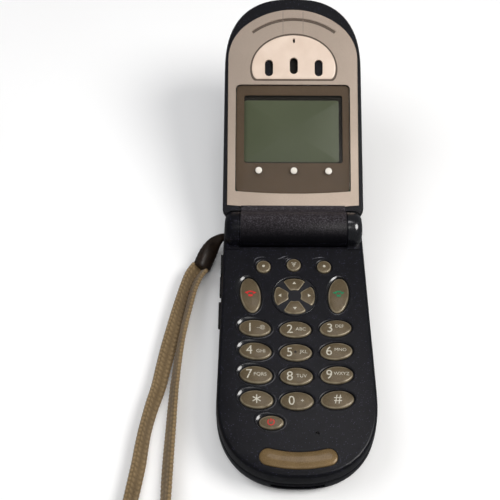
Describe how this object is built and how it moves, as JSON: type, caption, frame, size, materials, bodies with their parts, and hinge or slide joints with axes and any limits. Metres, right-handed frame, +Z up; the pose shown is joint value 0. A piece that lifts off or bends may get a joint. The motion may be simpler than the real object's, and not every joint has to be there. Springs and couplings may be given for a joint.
{
  "type": "folding mobile telephone",
  "caption": "Small folding telephone lying open on its back: keypad handset, hinged flip with a display and earpiece, sprung keys, sliding battery cover and a flat wrist strap.",
  "frame": {"origin": "on the handset's flat back, straight under the hinge axis, at mid breadth", "axes": "+Z up through the keypad, +Y from the chin to the hinge and on to the open flip, +X to the right of someone who reads the keys"},
  "size_m": [0.0756, 0.214, 0.0457],
  "materials": {
    "shell": "dark blue-black moulded shell with a fine metallic speckle",
    "cover": "same dark shell as the housings",
    "key": "painted olive-taupe metallic caps",
    "side_key": "dark soft plastic",
    "plate": "champagne satin",
    "chin": "champagne satin, bare",
    "ring": "dark ring round the direction keys",
    "lens": "clear window with a brown-grey printed border",
    "ear": "ivory",
    "lcd": "grey-green liquid crystal glass",
    "frame": "black moulded frame",
    "board": "green laminate with parts on it",
    "tin": "tinned sheet",
    "steel": "plain steel",
    "mat": "translucent silicone",
    "film": "clear film with dome contacts",
    "battery": "wrapped lithium cell",
    "black": "black moulded part",
    "copper": "copper foil on a carrier",
    "strap": "tan flat woven braid",
    "sleeve": "dark brown moulded tab"
  },
  "bodies": {
    "handset": {"front_housing": "shell", "rear_housing": "shell", "battery_pack": "battery", "main_board": "board", "shield_cans": "tin", "dome_sheet": "film", "keypad_mat": "mat", "nav_ring": "ring", "chin_plate": "chin", "microphone": "tin", "alert_sounder": "black", "vibration_motor": "steel", "sim_holder": "tin", "accessory_connector": "black", "headset_jack": "black", "antenna": "copper", "hinge_bush": "steel", "housing_screws": "steel", "strap_pin": "steel", "strap_sleeve": "sleeve", "wrist_strap": "strap"},
    "flip": {"flip_bezel": "shell", "flip_cover": "shell", "face_plate": "plate", "display_lens": "lens", "display_panel": "lcd", "display_frame": "frame", "flip_board": "board", "earpiece_cover": "ear", "earpiece_speaker": "black", "flex_cable": "copper", "hinge_cam": "steel", "flip_screws": "steel"},
    "battery_cover": {"battery_cover": "cover"},
    "left_soft_key": {"left_soft_key": "key"},
    "menu_key": {"menu_key": "key"},
    "right_soft_key": {"right_soft_key": "key"},
    "end_key": {"end_key": "key"},
    "send_key": {"send_key": "key"},
    "nav_up": {"nav_up": "key"},
    "nav_down": {"nav_down": "key"},
    "nav_left": {"nav_left": "key"},
    "nav_right": {"nav_right": "key"},
    "key_1": {"key_1": "key"},
    "key_2": {"key_2": "key"},
    "key_3": {"key_3": "key"},
    "key_4": {"key_4": "key"},
    "key_5": {"key_5": "key"},
    "key_6": {"key_6": "key"},
    "key_7": {"key_7": "key"},
    "key_8": {"key_8": "key"},
    "key_9": {"key_9": "key"},
    "key_star": {"key_star": "key"},
    "key_0": {"key_0": "key"},
    "key_hash": {"key_hash": "key"},
    "power_key": {"power_key": "key"},
    "volume_up_key": {"volume_up_key": "side_key"},
    "volume_down_key": {"volume_down_key": "side_key"},
    "side_key": {"side_key": "side_key"}
  },
  "joints": [
    {"name": "flip_hinge", "type": "hinge", "parent": "handset", "child": "flip", "pos_m": [0, 0, 0.013], "axis": [1, 0, 0], "range_deg": [0, 154]},
    {"name": "cover_slide", "type": "slide", "parent": "handset", "child": "battery_cover", "axis": [0, -1, 0], "range_m": [0, 0.006]},
    {"name": "left_soft_key_press", "type": "slide", "parent": "handset", "child": "left_soft_key", "axis": [0, 0, -1], "range_m": [0, 0.0003], "stiffness_N_per_m": 300},
    {"name": "menu_key_press", "type": "slide", "parent": "handset", "child": "menu_key", "axis": [0, 0, -1], "range_m": [0, 0.0003], "stiffness_N_per_m": 300},
    {"name": "right_soft_key_press", "type": "slide", "parent": "handset", "child": "right_soft_key", "axis": [0, 0, -1], "range_m": [0, 0.0003], "stiffness_N_per_m": 300},
    {"name": "end_key_press", "type": "slide", "parent": "handset", "child": "end_key", "axis": [0, 0, -1], "range_m": [0, 0.0003], "stiffness_N_per_m": 300},
    {"name": "send_key_press", "type": "slide", "parent": "handset", "child": "send_key", "axis": [0, 0, -1], "range_m": [0, 0.0003], "stiffness_N_per_m": 300},
    {"name": "nav_up_press", "type": "slide", "parent": "handset", "child": "nav_up", "axis": [0, 0, -1], "range_m": [0, 0.0003], "stiffness_N_per_m": 300},
    {"name": "nav_down_press", "type": "slide", "parent": "handset", "child": "nav_down", "axis": [0, 0, -1], "range_m": [0, 0.0003], "stiffness_N_per_m": 300},
    {"name": "nav_left_press", "type": "slide", "parent": "handset", "child": "nav_left", "axis": [0, 0, -1], "range_m": [0, 0.0003], "stiffness_N_per_m": 300},
    {"name": "nav_right_press", "type": "slide", "parent": "handset", "child": "nav_right", "axis": [0, 0, -1], "range_m": [0, 0.0003], "stiffness_N_per_m": 300},
    {"name": "key_1_press", "type": "slide", "parent": "handset", "child": "key_1", "axis": [0, 0, -1], "range_m": [0, 0.0003], "stiffness_N_per_m": 300},
    {"name": "key_2_press", "type": "slide", "parent": "handset", "child": "key_2", "axis": [0, 0, -1], "range_m": [0, 0.0003], "stiffness_N_per_m": 300},
    {"name": "key_3_press", "type": "slide", "parent": "handset", "child": "key_3", "axis": [0, 0, -1], "range_m": [0, 0.0003], "stiffness_N_per_m": 300},
    {"name": "key_4_press", "type": "slide", "parent": "handset", "child": "key_4", "axis": [0, 0, -1], "range_m": [0, 0.0003], "stiffness_N_per_m": 300},
    {"name": "key_5_press", "type": "slide", "parent": "handset", "child": "key_5", "axis": [0, 0, -1], "range_m": [0, 0.0003], "stiffness_N_per_m": 300},
    {"name": "key_6_press", "type": "slide", "parent": "handset", "child": "key_6", "axis": [0, 0, -1], "range_m": [0, 0.0003], "stiffness_N_per_m": 300},
    {"name": "key_7_press", "type": "slide", "parent": "handset", "child": "key_7", "axis": [0, 0, -1], "range_m": [0, 0.0003], "stiffness_N_per_m": 300},
    {"name": "key_8_press", "type": "slide", "parent": "handset", "child": "key_8", "axis": [0, 0, -1], "range_m": [0, 0.0003], "stiffness_N_per_m": 300},
    {"name": "key_9_press", "type": "slide", "parent": "handset", "child": "key_9", "axis": [0, 0, -1], "range_m": [0, 0.0003], "stiffness_N_per_m": 300},
    {"name": "key_star_press", "type": "slide", "parent": "handset", "child": "key_star", "axis": [0, 0, -1], "range_m": [0, 0.0003], "stiffness_N_per_m": 300},
    {"name": "key_0_press", "type": "slide", "parent": "handset", "child": "key_0", "axis": [0, 0, -1], "range_m": [0, 0.0003], "stiffness_N_per_m": 300},
    {"name": "key_hash_press", "type": "slide", "parent": "handset", "child": "key_hash", "axis": [0, 0, -1], "range_m": [0, 0.0003], "stiffness_N_per_m": 300},
    {"name": "power_key_press", "type": "slide", "parent": "handset", "child": "power_key", "axis": [0, 0, -1], "range_m": [0, 0.0003], "stiffness_N_per_m": 300},
    {"name": "volume_up_key_press", "type": "slide", "parent": "handset", "child": "volume_up_key", "axis": [1, 0, 0], "range_m": [0, 0.0004], "stiffness_N_per_m": 300},
    {"name": "volume_down_key_press", "type": "slide", "parent": "handset", "child": "volume_down_key", "axis": [1, 0, 0], "range_m": [0, 0.0004], "stiffness_N_per_m": 300},
    {"name": "side_key_press", "type": "slide", "parent": "handset", "child": "side_key", "axis": [1, 0, 0], "range_m": [0, 0.0004], "stiffness_N_per_m": 300}
  ]
}
